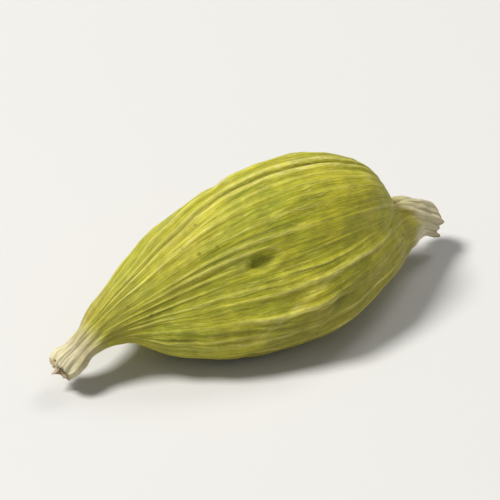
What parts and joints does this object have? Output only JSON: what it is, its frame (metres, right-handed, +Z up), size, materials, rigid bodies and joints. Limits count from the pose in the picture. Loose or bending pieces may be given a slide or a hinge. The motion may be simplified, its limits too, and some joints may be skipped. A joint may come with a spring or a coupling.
{
  "type": "green cardamom pod",
  "caption": "Dried green cardamom pod: a ribbed three-sided capsule with a stalk stub and a short beak, lying on its side.",
  "frame": {"origin": "middle of the pod's footprint box, on the surface that it lies on", "axes": "+X along the pod towards the stalk, -X towards the beak, +Z up as it lies"},
  "size_m": [0.0204, 0.0088, 0.0077],
  "materials": {
    "husk": "matt papery husk, yellow-green"
  },
  "bodies": {
    "root": {"cardamom_pod": "husk"}
  },
  "joints": []
}
